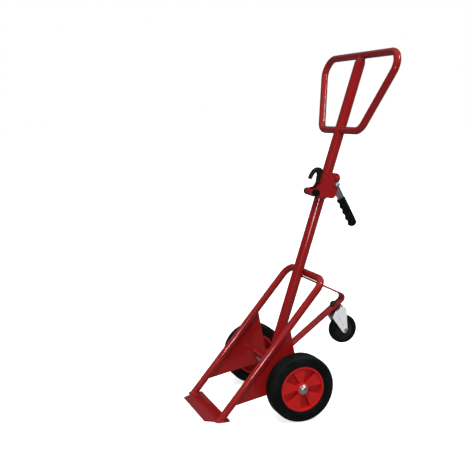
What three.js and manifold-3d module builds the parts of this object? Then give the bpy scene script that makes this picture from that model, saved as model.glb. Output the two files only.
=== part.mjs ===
// Drum dolly: a two-wheeled tubular sack-truck frame with a foot plate, a hoop and a straight
// mast, a rear swivel castor to rest on, and a sliding beak clamp for the drum's rim.
// Millimetres. +Z is up, +X is across the dolly, -Y is the drum side and +Y is the handle side.
import * as THREE from 'three';
import { mergeVertices } from 'three/addons/utils/BufferGeometryUtils.js';
import Module from 'manifold-3d';

const wasm = await Module();
wasm.setup();

// ---- driving dimensions ----
const GAP = 0.3;                 // left between pieces that are welded, pressed or bolted together
const RUN = 0.15;                // radial clearance of a shaft turning in a bush

const AXLE_Z = 116;              // wheel centre above the floor; the axle line is y = 0
const WHEEL_R = 116;
const WHEEL_X = 215.5;           // mid-plane of each wheel
const TYRE_HALF = 30;
const RIM_R = 79;
const RIM_HALF = 27;
const HUB_BORE_R = 10.3;
const BUSH_R = 10;
const AXLE_R = 7.95;

const MAST_TILT = THREE.MathUtils.degToRad(17.5);
const MAST_FOOT_Y = -60.9;       // where the mast's centre line would meet the floor
const MAST_R = 19;
const MAST_WALL = 2.5;
const MAST_START = 158.3;        // along the mast, above the cross tube
const MAST_END = 1293.5;         // along the mast, under the handle's top bar

const HANDLE_R = 13.2;
const HANDLE_WALL = 2;
const HANDLE_TOP = 1307;         // along the mast
const HANDLE_BOTTOM = 1028;
const HANDLE_TOP_HALF = 289;     // half widths of the trapezoid's corners
const HANDLE_BOTTOM_HALF = 146;
const HANDLE_BEND = 50;

const HOOP_R = 13.2;
const HOOP_WALL = 2;
const HOOP_X = 147;              // legs
const HOOP_BEND = 42;
const HOOP_FOOT_Y = -270.1;      // where a leg's centre line would meet the floor
const HOOP_SLOPE = 0.8385;       // rearward run per unit of height
const HOOP_TOP_Z = 465;          // crossbar, behind the mast

const CROSS_R = 11;
const CROSS_Z = 140;             // the cross tube lies on the mast's centre line
const GUSSET_INNER = 147;
const GUSSET_T = 5;

const PLATE_T = 5;
const PLATE_OUTLINE = [[158, -231], [156, -255], [121, -313]];

const STRIP_HALF_W = 20;         // castor bracket, a bent flat bar
const STRIP_T = 6.5;
const STRIP_LOW = [10.1, 162.2];
const STRIP_BEND = [284.2, 367.1];
const STRIP_HIGH = [102.6, 454.1];
const STRIP_BEND_R = 16;

const CASTOR_SWIVEL_Y = 238.4;   // swivel axis crosses the strip's centre line here
const CASTOR_WHEEL_R = 54;
const CASTOR_DROP = 95;          // strip centre line to castor axle
const CASTOR_TRAIL = 25.5;

const PIVOT = [37, 837];         // lever pivot, as [behind the mast's axis, along the mast]
const LEVER_ANGLE = THREE.MathUtils.degToRad(46);
const LEVER_LENGTH = 168;
const GRIP_START = 62;
const GRIP_END = 180;

// ---- materials ----
const material = (name, color, roughness, metalness) =>
  new THREE.MeshStandardMaterial({ name, color, roughness, metalness });
const FRAME_RED = material('frame_paint', 0xb01020, 0.25, 0.1);
const HUB_RED = material('hub_plastic', 0xd01818, 0.35, 0);
const BLACK_TYRE = material('tyre_rubber', 0x151615, 0.75, 0);
const BLACK_RUBBER = material('grip_rubber', 0x101010, 0.6, 0);
const ZINC = material('zinc', 0xb8bcc0, 0.3, 0.9);
const STEEL = material('lever_steel', 0x808688, 0.4, 0.85);
const DARK_STEEL = material('dark_steel', 0x24201f, 0.5, 0.6);
const CASTOR_BLACK = material('castor_plastic', 0x121212, 0.5, 0);

// ---- solids ----
function toSolid(geometry) {
  const bare = geometry.clone();
  bare.deleteAttribute('normal');
  bare.deleteAttribute('uv');
  const merged = mergeVertices(bare, 1e-4);
  return new wasm.Manifold(new wasm.Mesh({
    numProp: 3,
    vertProperties: new Float32Array(merged.attributes.position.array),
    triVerts: new Uint32Array(merged.index.array),
  }));
}

function toGeometry(solid) {
  const mesh = solid.getMesh();
  const geometry = new THREE.BufferGeometry();
  geometry.setAttribute('position', new THREE.BufferAttribute(new Float32Array(mesh.vertProperties), 3));
  geometry.setIndex(new THREE.BufferAttribute(new Uint32Array(mesh.triVerts), 1));
  geometry.computeVertexNormals();
  return geometry;
}

function join(...geometries) {
  return toGeometry(geometries.map(toSolid).reduce((all, next) => all.add(next)));
}

function cut(geometry, ...tools) {
  return toGeometry(tools.map(toSolid).reduce((rest, tool) => rest.subtract(tool), toSolid(geometry)));
}

// An outline of [a, b] points as a shape, with round holes given as [a, b, radius].
function outline(points, holes = [], holeSegments = 24) {
  const shape = new THREE.Shape(points.map(([a, b]) => new THREE.Vector2(a, b)));
  for (const [a, b, radius] of holes) {
    shape.holes.push(new THREE.Path(ring(radius, holeSegments, a, b)));
  }
  return shape;
}

function ring(radius, segments, a = 0, b = 0, phase = 0) {
  const points = [];
  for (let i = 0; i < segments; i += 1) {
    const angle = phase + (2 * Math.PI * i) / segments;
    points.push(new THREE.Vector2(a + radius * Math.cos(angle), b + radius * Math.sin(angle)));
  }
  return points;
}

function arc(a, b, radius, fromDeg, toDeg, steps) {
  const points = [];
  for (let i = 0; i <= steps; i += 1) {
    const angle = THREE.MathUtils.degToRad(fromDeg + ((toDeg - fromDeg) * i) / steps);
    points.push([a + radius * Math.cos(angle), b + radius * Math.sin(angle)]);
  }
  return points;
}

// A shape extruded along its third axis from low to high.
function slab(shape, low, high) {
  const geometry = new THREE.ExtrudeGeometry(shape, { depth: high - low, bevelEnabled: false });
  return geometry.translate(0, 0, low);
}

// A washer, tube or rod lying along the third axis, centred at [a, b].
function tube([a, b], inner, outer, low, high, segments = 20) {
  const shape = new THREE.Shape(ring(outer, segments, a, b));
  if (inner > 0) {
    shape.holes.push(new THREE.Path(ring(inner, segments, a, b)));
  }
  return slab(shape, low, high);
}

function hexagon([a, b], acrossFlats, boreRadius, low, high, phase = 0) {
  const shape = new THREE.Shape(ring(acrossFlats / Math.sqrt(3), 6, a, b, phase));
  if (boreRadius > 0) {
    shape.holes.push(new THREE.Path(ring(boreRadius, 24, a, b)));
  }
  return slab(shape, low, high);
}

// A bent tube's centre line: straight runs with one step each and arcs with several.
class BentPath extends THREE.Curve {
  constructor(corners, radius, arcSteps) {
    super();
    this.stations = [{ point: corners[0], tangent: corners[1].clone().sub(corners[0]).normalize() }];
    for (let i = 1; i < corners.length - 1; i += 1) {
      this.addBend(corners[i - 1], corners[i], corners[i + 1], radius, arcSteps);
    }
    const last = corners.length - 1;
    this.stations.push({
      point: corners[last],
      tangent: corners[last].clone().sub(corners[last - 1]).normalize(),
    });
    this.steps = this.stations.length - 1;
  }

  addBend(before, corner, after, radius, arcSteps) {
    const inward = corner.clone().sub(before).normalize();
    const outward = after.clone().sub(corner).normalize();
    const turn = inward.angleTo(outward);
    const reach = radius * Math.tan(turn / 2);
    const start = corner.clone().addScaledVector(inward, -reach);
    const side = outward.clone().addScaledVector(inward, -outward.dot(inward)).normalize();
    for (let i = 0; i <= arcSteps; i += 1) {
      const angle = (turn * i) / arcSteps;
      this.stations.push({
        point: start.clone()
          .addScaledVector(inward, radius * Math.sin(angle))
          .addScaledVector(side, radius * (1 - Math.cos(angle))),
        tangent: inward.clone().multiplyScalar(Math.cos(angle)).addScaledVector(side, Math.sin(angle)),
      });
    }
  }

  locate(t) {
    const position = Math.min(Math.max(t, 0), 1) * this.steps;
    const index = Math.min(Math.floor(position + 1e-9), this.steps - 1);
    return [this.stations[index], this.stations[index + 1], position - index];
  }

  getPoint(t, target = new THREE.Vector3()) {
    const [from, to, blend] = this.locate(t);
    return target.lerpVectors(from.point, to.point, blend);
  }

  getPointAt(u, target) {
    return this.getPoint(u, target);
  }

  getTangentAt(u, target = new THREE.Vector3()) {
    const [from, to, blend] = this.locate(u);
    return target.lerpVectors(from.tangent, to.tangent, blend).normalize();
  }
}

function bentTube(corners, bendRadius, radius, wall, arcSteps = 4, segments = 14) {
  const path = new BentPath(corners, bendRadius, arcSteps);
  const shape = new THREE.Shape(ring(radius, segments));
  shape.holes.push(new THREE.Path(ring(radius - wall, segments)));
  return new THREE.ExtrudeGeometry(shape, { steps: path.steps, extrudePath: path, bevelEnabled: false });
}

function addMesh(parent, name, geometry, meshMaterial) {
  const mesh = new THREE.Mesh(geometry, meshMaterial);
  mesh.name = name;
  parent.add(mesh);
  return mesh;
}

// ---- frames ----
// Pieces drawn in side view have [y, z] outlines and are extruded across the dolly.
const sideView = new THREE.Matrix4().makeBasis(
  new THREE.Vector3(0, 1, 0), new THREE.Vector3(0, 0, 1), new THREE.Vector3(1, 0, 0));

function turnedGroup(first, second, third, origin) {
  const frame = new THREE.Matrix4().makeBasis(first, second, third).setPosition(origin);
  const group = new THREE.Group();
  frame.decompose(group.position, group.quaternion, group.scale);
  return group;
}

const ACROSS = new THREE.Vector3(1, 0, 0);
const ALONG_MAST = new THREE.Vector3(0, Math.sin(MAST_TILT), Math.cos(MAST_TILT));
const BEHIND_MAST = new THREE.Vector3(0, Math.cos(MAST_TILT), -Math.sin(MAST_TILT));

const dolly = new THREE.Group();

// The mast group's axes are: behind the mast, along the mast, across the dolly.
const mastGroup = turnedGroup(BEHIND_MAST, ALONG_MAST, ACROSS, new THREE.Vector3(0, MAST_FOOT_Y, 0));
dolly.add(mastGroup);

// ---- mast and handle ----
const standing = new THREE.Matrix4().makeRotationX(-Math.PI / 2);   // third axis to second axis
const mast = tube([0, 0], MAST_R - MAST_WALL, MAST_R, MAST_START, MAST_END, 32).applyMatrix4(standing);
addMesh(mastGroup, 'mast_tube', mast, FRAME_RED);

function handleLoop() {
  const end = MAST_R + GAP;
  const corners = [
    [end, HANDLE_BOTTOM],
    [HANDLE_BOTTOM_HALF, HANDLE_BOTTOM],
    [HANDLE_TOP_HALF, HANDLE_TOP],
    [-HANDLE_TOP_HALF, HANDLE_TOP],
    [-HANDLE_BOTTOM_HALF, HANDLE_BOTTOM],
    [-end, HANDLE_BOTTOM],
  ].map(([across, along]) => new THREE.Vector3(0, along, across));
  return bentTube(corners, HANDLE_BEND, HANDLE_R, HANDLE_WALL);
}
addMesh(mastGroup, 'handle_loop', handleLoop(), FRAME_RED);

// ---- hoop, cross tube, gussets and foot plate ----
const hoopY = (z) => HOOP_FOOT_Y + HOOP_SLOPE * z;

function hoop() {
  const below = -20;
  const corners = [
    [HOOP_X, below],
    [HOOP_X, HOOP_TOP_Z],
    [-HOOP_X, HOOP_TOP_Z],
    [-HOOP_X, below],
  ].map(([x, z]) => new THREE.Vector3(x, hoopY(z), z));
  const whole = bentTube(corners, HOOP_BEND, HOOP_R, HOOP_WALL);
  const ground = new THREE.BoxGeometry(400, 200, 100).translate(0, hoopY(0), PLATE_T + GAP - 50);
  return cut(whole, ground);
}
addMesh(dolly, 'hoop', hoop(), FRAME_RED);

const crossY = MAST_FOOT_Y + CROSS_Z * Math.tan(MAST_TILT);
const crossTube = tube([crossY, CROSS_Z], CROSS_R - 2, CROSS_R, GAP - GUSSET_INNER, GUSSET_INNER - GAP)
  .applyMatrix4(sideView);
addMesh(dolly, 'cross_tube', crossTube, FRAME_RED);

// Each gusset runs from its leg back to the axle, with the rear lower corner rounded.
const GUSSET_CORNERS = [[-9.4, 314], [-230, 49.5], [31.7, 101.7]];
function gusset(side) {
  const [top, front, rear] = GUSSET_CORNERS;
  const points = [top, front, [rear[0] - 15, rear[1] - 3], [rear[0] - 5.5, rear[1] + 0.6],
    [rear[0] - 1.2, rear[1] + 6], [rear[0] - 2.9, rear[1] + 15]];
  const low = side > 0 ? GUSSET_INNER : -GUSSET_INNER - GUSSET_T;
  const shape = outline(points, [[0, AXLE_Z, AXLE_R + RUN]], 32);
  const plate = slab(shape, low, low + GUSSET_T).applyMatrix4(sideView);
  const direction = new THREE.Vector3(0, HOOP_SLOPE, 1).normalize();
  const leg = new THREE.CylinderGeometry(HOOP_R + GAP + 0.3, HOOP_R + GAP + 0.3, 700, 24);
  leg.applyQuaternion(new THREE.Quaternion().setFromUnitVectors(new THREE.Vector3(0, 1, 0), direction));
  leg.translate(side * HOOP_X, hoopY(200), 200);
  return cut(plate, leg);
}
addMesh(dolly, 'gusset_right', gusset(1), FRAME_RED);
addMesh(dolly, 'gusset_left', gusset(-1), FRAME_RED);

function footPlate() {
  const right = PLATE_OUTLINE;
  const left = PLATE_OUTLINE.map(([x, y]) => [-x, y]).reverse();
  return slab(outline([...right, ...left]), 0, PLATE_T);
}
addMesh(dolly, 'foot_plate', footPlate(), FRAME_RED);

// ---- castor bracket: a flat bar bent into a V whose ends butt against the mast ----
function bracketCentreLine() {
  const flat = ([y, z]) => new THREE.Vector3(y, z, 0);
  const low = flat(STRIP_LOW);
  const bend = flat(STRIP_BEND);
  const high = flat(STRIP_HIGH);
  low.addScaledVector(bend.clone().sub(low).normalize(), -25);
  high.addScaledVector(bend.clone().sub(high).normalize(), -25);
  return new BentPath([low, bend, high], STRIP_BEND_R, 8).stations;
}

function castorBracket(stemPoint) {
  const offset = (station, distance) => [
    station.point.x - distance * station.tangent.y,
    station.point.y + distance * station.tangent.x,
  ];
  const stations = bracketCentreLine();
  const outer = stations.map((station) => offset(station, -STRIP_T / 2));
  const inner = stations.map((station) => offset(station, STRIP_T / 2)).reverse();
  const bar = slab(outline([...outer, ...inner]), -STRIP_HALF_W, STRIP_HALF_W).applyMatrix4(sideView);
  const front = new THREE.BoxGeometry(100, 100, 900).translate(0, MAST_R + GAP - 50, 300);
  front.rotateX(-MAST_TILT);
  front.translate(0, MAST_FOOT_Y, 0);
  const hole = new THREE.CylinderGeometry(6.4, 6.4, 40, 32);
  hole.applyQuaternion(new THREE.Quaternion().setFromUnitVectors(new THREE.Vector3(0, 1, 0), CASTOR_UP));
  hole.translate(...stemPoint.toArray());
  return cut(bar, front, hole);
}

const stripRun = new THREE.Vector3(0, STRIP_BEND[0] - STRIP_LOW[0], STRIP_BEND[1] - STRIP_LOW[1]).normalize();
const CASTOR_UP = new THREE.Vector3(0, -stripRun.z, stripRun.y);
const swivelPoint = new THREE.Vector3(0, STRIP_LOW[0], STRIP_LOW[1])
  .addScaledVector(stripRun, (CASTOR_SWIVEL_Y - STRIP_LOW[0]) / stripRun.y);
addMesh(dolly, 'castor_bracket', castorBracket(swivelPoint), FRAME_RED);

// ---- main wheels, one on a stub axle through each gusset ----
const SPOKE_PHASE = THREE.MathUtils.degToRad(-44);
const axleAt = [0, AXLE_Z];

function tyre() {
  const profile = [
    [RIM_R + GAP, -27], [90, -TYRE_HALF], [110, -TYRE_HALF], [WHEEL_R, -23],
    [WHEEL_R, 23], [110, TYRE_HALF], [90, TYRE_HALF], [RIM_R + GAP, 27],
  ];
  const points = profile.map(([radius, along]) => new THREE.Vector2(radius, along));
  points.push(points[0].clone());
  return new THREE.LatheGeometry(points, 40).rotateX(Math.PI / 2);
}

// The hub is a rim, a web and a boss joined by five wedge spokes that widen to the rim.
function hub() {
  const rim = tube([0, 0], 71, RIM_R, -RIM_HALF, RIM_HALF, 40);
  const web = tube([0, 0], HUB_BORE_R, 73, 4, 9, 40);
  const boss = tube([0, 0], HUB_BORE_R, 21, -39.2, 28.5);
  const parts = [rim, web, boss];
  for (let i = 0; i < 5; i += 1) {
    const angle = THREE.MathUtils.radToDeg(SPOKE_PHASE) + 72 * i;
    const wedge = outline([
      ...arc(0, 0, 72.5, angle - 21, angle + 21, 4),
      ...arc(0, 0, 19, angle + 16, angle - 16, 2),
    ]);
    parts.push(slab(wedge, 8, 23));
    const rib = outline([
      ...arc(0, 0, 72.5, angle - 3, angle + 3, 1),
      ...arc(0, 0, 19, angle + 10, angle - 10, 1),
    ]);
    parts.push(slab(rib, -22, 5));
  }
  return join(...parts);
}

function mainWheel(label, side) {
  const wheel = turnedGroup(new THREE.Vector3(0, side, 0), new THREE.Vector3(0, 0, 1),
    new THREE.Vector3(side, 0, 0), new THREE.Vector3(side * WHEEL_X, 0, AXLE_Z));
  dolly.add(wheel);
  const inner = GUSSET_INNER - WHEEL_X;
  const outer = GUSSET_INNER + GUSSET_T - WHEEL_X;
  addMesh(wheel, `tyre_${label}`, tyre(), BLACK_TYRE);
  addMesh(wheel, `hub_${label}`, hub(), HUB_RED);
  addMesh(wheel, `bush_${label}`, tube([0, 0], AXLE_R + RUN, BUSH_R, -39.2, 28.5), STEEL);
  addMesh(wheel, `stub_axle_${label}`, tube([0, 0], 0, AXLE_R, inner - 16, 31.2), ZINC);
  addMesh(wheel, `axle_nut_${label}`, hexagon([0, 0], 24, AXLE_R + GAP, inner - 15, inner - 2.6), ZINC);
  addMesh(wheel, `axle_washer_${label}`, tube([0, 0], AXLE_R + GAP, 14, inner - 2.3, inner - GAP), ZINC);
  addMesh(wheel, `axle_spacer_${label}`, tube([0, 0], AXLE_R + GAP, 13, outer + GAP, -39.5), ZINC);
  addMesh(wheel, `hub_washer_${label}`, tube([0, 0], AXLE_R + GAP, 17, 28.8, 31.2), ZINC);
  const dome = [[0, 31.5], [14.5, 31.5], [15, 34], [12.5, 37.5], [7.5, 39.6], [0, 40.3]]
    .map(([radius, along]) => new THREE.Vector2(radius, along));
  addMesh(wheel, `hub_cap_${label}`, new THREE.LatheGeometry(dome, 16).rotateX(Math.PI / 2), ZINC);
}
mainWheel('right', 1);
mainWheel('left', -1);

// ---- swivel castor; its group's axes are: up the strip, up the swivel axis, across ----
const castor = turnedGroup(stripRun, CASTOR_UP, ACROSS, swivelPoint);
dolly.add(castor);
const upright = new THREE.Matrix4().makeRotationX(-Math.PI / 2);

function swivelRing(inner, outer, low, high, segments = 20) {
  return tube([0, 0], inner, outer, low, high, segments).applyMatrix4(upright);
}

function castorFork() {
  const crownShape = outline([
    ...arc(16, 15, 9.5, 0, 90, 3), ...arc(-20, 15, 9.5, 90, 180, 3),
    ...arc(-20, -15, 9.5, 180, 270, 3), ...arc(16, -15, 9.5, 270, 360, 3),
  ], [[0, 0, 6.4]], 32);
  const crown = slab(crownShape, -14, -10.6).applyMatrix4(upright);
  const parts = [crown];
  for (const low of [-24.5, 21.5]) {
    const leg = outline([
      [-24, -10.6], [-35.5, -18], [-38.7, -26], [-38.7, -95], [-37, -101],
      ...arc(-CASTOR_TRAIL, -CASTOR_DROP, 10.8, 230, 318, 5),
      [-11.5, -90.5], [4.8, -64], [20.5, -42], [25, -33], [25, -24], [20, -10.6],
    ], [[-CASTOR_TRAIL, -CASTOR_DROP, 4.2]], 24);
    parts.push(slab(leg, low, low + 3));
  }
  return join(...parts);
}

const castorHub = [-CASTOR_TRAIL, -CASTOR_DROP];
const stemTop = -STRIP_T / 2;
addMesh(castor, 'castor_race', swivelRing(6.4, 24, stemTop - 7, stemTop - GAP), DARK_STEEL);
const stem = join(swivelRing(0, 6, -17, 17.5), swivelRing(0, 11, -21, -14.3));
addMesh(castor, 'castor_stem', stem, DARK_STEEL);
addMesh(castor, 'castor_washer', swivelRing(6.4, 12.5, STRIP_T / 2 + GAP, 5.3), DARK_STEEL);
const stemNut = hexagon([0, 0], 19, 6.4, 5.6, 15.6).applyMatrix4(upright);
addMesh(castor, 'castor_nut', stemNut, DARK_STEEL);
addMesh(castor, 'castor_fork', castorFork(), ZINC);
const castorCore = join(tube(castorHub, 7.15, 13, -20.5, 20.5, 24), tube(castorHub, 12, 36, -9, 9, 24));
addMesh(castor, 'castor_wheel_core', castorCore, CASTOR_BLACK);
function castorTyre() {
  const points = [
    [36.3, -13.5], [47, -15], [CASTOR_WHEEL_R, -9],
    [CASTOR_WHEEL_R, 9], [47, 15], [36.3, 13.5],
  ].map(([radius, along]) => new THREE.Vector2(radius, along));
  points.push(points[0].clone());
  const geometry = new THREE.LatheGeometry(points, 32).rotateX(Math.PI / 2);
  return geometry.translate(castorHub[0], castorHub[1], 0);
}
addMesh(castor, 'castor_tyre', castorTyre(), BLACK_TYRE);
addMesh(castor, 'castor_bush', tube(castorHub, 4.4, 7, -21.2, 21.2, 24), STEEL);
const castorBolt = join(tube(castorHub, 0, 4, -33, 26), hexagon(castorHub, 13, 0, 24.8, 30));
addMesh(castor, 'castor_axle', castorBolt, ZINC);
addMesh(castor, 'castor_axle_nut', hexagon(castorHub, 13, 4.3, -31.3, -24.8), ZINC);

// ---- beak clamp, sliding on the mast ----
const CHEEK_X = 23.4;
const CHEEK_T = 5;
const PAD = [-38, 786];
const TOP_BOLT = [30.6, 858];

// The sleeve has a window at the back for the brake shoe.
const sleeve = tube([0, 0], 19.5, 23, 776, 872, 32).applyMatrix4(standing);
const shoeWindow = new THREE.BoxGeometry(30, 44, 19).translate(15, 823, 0);
addMesh(mastGroup, 'clamp_sleeve', cut(sleeve, shoeWindow), FRAME_RED);
addMesh(mastGroup, 'brake_shoe', new THREE.BoxGeometry(5, 40, 16).translate(21.9, 823, 0), DARK_STEEL);

function cheek(low) {
  const points = [
    [-23, 868], [8, 872.5],
    ...arc(26, 858, 17.5, 100, -25, 8),
    [45.5, 838],
    ...arc(26, 803, 21, 15, -100, 8),
    [0, 777], [-14, 772],
    ...arc(PAD[0], PAD[1], 13.5, 280, 120, 6),
    [-26, 808], [-20.5, 828], [-20, 845],
  ];
  const holes = [[PAD[0], PAD[1], 9.4], [TOP_BOLT[0], TOP_BOLT[1], 5.3], [PIVOT[0], PIVOT[1], 5.3]];
  return slab(outline(points, holes, 16), low, low + CHEEK_T);
}
addMesh(mastGroup, 'cheek_right', cheek(CHEEK_X), FRAME_RED);
addMesh(mastGroup, 'cheek_left', cheek(-CHEEK_X - CHEEK_T), FRAME_RED);

// The beak hooks over the drum's top rim and down inside it.
const beakOutline = outline([
  [-23.5, 822], [-23.5, 862], [-26, 871], [-32, 877], [-40, 877.5], [-50, 872], [-58, 861], [-63, 845],
  [-64, 832], [-61, 827], [-56.5, 829], [-54.5, 842], [-50, 853], [-44, 858.5], [-37.5, 857], [-34, 850],
  [-32.5, 838], [-31, 826], [-29, 822],
]);
addMesh(mastGroup, 'beak', slab(beakOutline, -11, 11), DARK_STEEL);

addMesh(mastGroup, 'pad_bar', tube(PAD, 0, 9, -38, 38), FRAME_RED);
for (const [label, low, high] of [['right', 28.8, 44], ['left', -44, -28.8]]) {
  const cap = tube(PAD, 9.3, 13, low, high);
  const end = label === 'right' ? [high - 4, high] : [low, low + 4];
  addMesh(mastGroup, `pad_cap_${label}`, join(cap, tube(PAD, 0, 13, ...end)), BLACK_RUBBER);
}

addMesh(mastGroup, 'top_spacer', tube(TOP_BOLT, 5.3, 6.9, -23, 23, 16), ZINC);
const headProfile = [[0, 36.5], [5, 35.6], [9.5, 31.5], [9.5, 28.8], [0, 28.8]]
  .reverse().map(([radius, along]) => new THREE.Vector2(radius, along));
const domeHead = new THREE.LatheGeometry(headProfile, 16).rotateX(Math.PI / 2);
const boltHead = (at) => domeHead.clone().translate(at[0], at[1], 0);
addMesh(mastGroup, 'top_bolt', join(boltHead(TOP_BOLT), tube(TOP_BOLT, 0, 5, -38, 30, 16)), FRAME_RED);
addMesh(mastGroup, 'top_nut', hexagon(TOP_BOLT, 17, 5.3, -36.5, -28.7), ZINC);
addMesh(mastGroup, 'pivot_bolt', join(boltHead(PIVOT), tube(PIVOT, 0, 5, -38, 30, 16)), ZINC);
addMesh(mastGroup, 'pivot_nut', hexagon(PIVOT, 17, 5.3, -36.5, -28.7), ZINC);

// ---- cam lever with its grip; drawn along its own length, then turned to its rest angle ----
function leverPlace(geometry) {
  geometry.rotateZ(LEVER_ANGLE - Math.PI / 2);
  return geometry.translate(PIVOT[0], PIVOT[1], 0);
}
// The strip is wider on its outer edge as far as the grip, with a small tab beside the pivot.
const LEVER_OUTER_EDGE = [[LEVER_LENGTH, 9], [76, 10.5], [58, 16]];
const leverOutline = outline([
  ...arc(0, 0, 10, 90, 270, 8),
  [30, -10], [52, -11], [LEVER_LENGTH, -9], ...LEVER_OUTER_EDGE,
  [14, 16], [8, 19.5], [5.5, 23], [2.5, 22.5], [1.5, 18],
], [[0, 0, 5.15]], 16);
addMesh(mastGroup, 'lever', leverPlace(slab(leverOutline, -2.5, 2.5)), STEEL);

for (const [label, low, high] of [['right', 2.8, 8], ['left', -8, -2.8]]) {
  const centre = [PIVOT[0] - 2.4, PIVOT[1]];
  const cam = outline(ring(9.8, 24, centre[0], centre[1]).map((p) => [p.x, p.y]),
    [[PIVOT[0], PIVOT[1], 5.15]], 16);
  addMesh(mastGroup, `cam_${label}`, slab(cam, low, high), DARK_STEEL);
}

// The grip has finger waves on the side that faces the mast.
function grip() {
  const waves = [];
  const length = GRIP_END - GRIP_START;
  const steps = 24;
  for (let i = 0; i <= steps; i += 1) {
    const along = 6 + ((length - 20) * i) / steps;
    waves.push([GRIP_START + along, -14 - 2.3 * Math.cos((2 * Math.PI * 4 * i) / steps)]);
  }
  const body = outline([
    [GRIP_START, 17.3], [GRIP_START, -15.5], ...waves, [GRIP_END - 3, -10], [GRIP_END, 0],
    [GRIP_END - 3, 11], [GRIP_END - 10, 16.5], [GRIP_START + 3, 18],
  ]);
  const pocket = outline([
    [50, -11.4], [LEVER_LENGTH + GAP, -9.4],
    ...LEVER_OUTER_EDGE.map(([a, b]) => [a + GAP, b + 0.4]), [50, 16.4],
  ]);
  return cut(slab(body, -11, 11), slab(pocket, -2.5 - GAP, 2.5 + GAP));
}
addMesh(mastGroup, 'grip', leverPlace(grip()), BLACK_RUBBER);

// ---- the origin is under the middle of the whole object ----
const size = new THREE.Box3().setFromObject(dolly, true);
dolly.position.y = -(size.min.y + size.max.y) / 2;
const group = new THREE.Group();
group.add(dolly);

export default group;
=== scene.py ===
"""Drum dolly: welded red tube frame, two ribbed wheels, a swivel castor and a sliding beak clamp.

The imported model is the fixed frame. Pieces are drawn in millimetres in their own place (the
mast's, a wheel's, the castor's) and carried from there into the row frame in metres.
"""

import math

import bmesh
import bpy
from mathutils import Matrix, Vector
from mathutils.geometry import tessellate_polygon


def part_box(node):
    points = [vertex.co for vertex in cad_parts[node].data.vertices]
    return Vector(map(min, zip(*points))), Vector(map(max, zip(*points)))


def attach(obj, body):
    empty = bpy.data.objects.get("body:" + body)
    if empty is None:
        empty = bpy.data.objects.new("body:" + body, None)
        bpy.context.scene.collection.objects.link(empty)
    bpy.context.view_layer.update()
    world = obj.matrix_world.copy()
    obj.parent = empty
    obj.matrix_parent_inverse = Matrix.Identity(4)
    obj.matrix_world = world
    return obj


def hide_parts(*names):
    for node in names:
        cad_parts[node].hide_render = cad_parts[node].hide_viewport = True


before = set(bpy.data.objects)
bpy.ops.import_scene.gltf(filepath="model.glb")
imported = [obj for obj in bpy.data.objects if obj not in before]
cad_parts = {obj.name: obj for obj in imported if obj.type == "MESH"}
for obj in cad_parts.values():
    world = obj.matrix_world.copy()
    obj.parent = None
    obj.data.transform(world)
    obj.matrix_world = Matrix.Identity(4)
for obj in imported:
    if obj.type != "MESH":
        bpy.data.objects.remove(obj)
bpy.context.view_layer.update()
scene = bpy.context.scene

# ---- places ----
hub_low, hub_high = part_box("hub_right")
AXLE_Y = (hub_low.y + hub_high.y) / 2
AXLE_Z = 116
WHEEL_X = 215.5
GUSSET_IN, GUSSET_OUT = 147, 152   # a gusset's two faces, measured out from the middle
MAST_TILT = math.radians(17.5)
MAST_FOOT = Vector((0, -60.9, 0))
MAST_R = 19
TUBE_R = 12.9   # the hoop's and the handle's tube
ACROSS = Vector((1, 0, 0))
ALONG = Vector((0, math.sin(MAST_TILT), math.cos(MAST_TILT)))
BEHIND = Vector((0, math.cos(MAST_TILT), -math.sin(MAST_TILT)))


def place(first, second, third, origin=(0, 0, 0)):
    """A piece's own three axes and origin, in millimetres, as a matrix into the row frame."""
    axes = Matrix((first, second, third)).transposed().to_4x4()
    to_metres = Matrix.Translation((0, AXLE_Y, 0)) @ Matrix.Scale(0.001, 4)
    return to_metres @ Matrix.Translation(origin) @ axes


UPRIGHT = place(ACROSS, Vector((0, 1, 0)), Vector((0, 0, 1)))
SIDEWAYS = place(Vector((0, 1, 0)), Vector((0, 0, 1)), ACROSS)
MAST = place(BEHIND, ALONG, ACROSS, MAST_FOOT)

# The castor's strip in the side view: its two ends and its bend, and the swivel on its lower run.
STRIP_LOW = Vector((10.1, 162.2))
STRIP_BEND = Vector((284.2, 367.1))
STRIP_HIGH = Vector((102.6, 454.1))
STRIP_RUN = Vector((0, *(STRIP_BEND - STRIP_LOW))).normalized()
SWIVEL_Y = 238.4
SWIVEL = STRIP_LOW.lerp(STRIP_BEND, (SWIVEL_Y - STRIP_LOW.x) / (STRIP_BEND.x - STRIP_LOW.x))
CASTOR = place(STRIP_RUN, Vector((0, -STRIP_RUN.z, STRIP_RUN.y)), ACROSS, (0, *SWIVEL))
CASTOR_HUB = (-25.5, -95)

# The clamp's pins: behind the mast's axis and up along it.
PIVOT = (37, 837)
TOP_BOLT = (30.6, 858)
PAD = (-38, 786)
LEVER_TURN = math.radians(-44)   # the lever hangs down and back
LEVER = MAST @ Matrix.Translation((*PIVOT, 0)) @ Matrix.Rotation(LEVER_TURN, 4, "Z")
STAND = Matrix.Rotation(-math.pi / 2, 4, "X")   # turned about the second axis instead of the third


def wheel_place(side):
    return place(Vector((0, side, 0)), Vector((0, 0, 1)), Vector((side, 0, 0)),
                 (side * WHEEL_X, 0, AXLE_Z))


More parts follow.
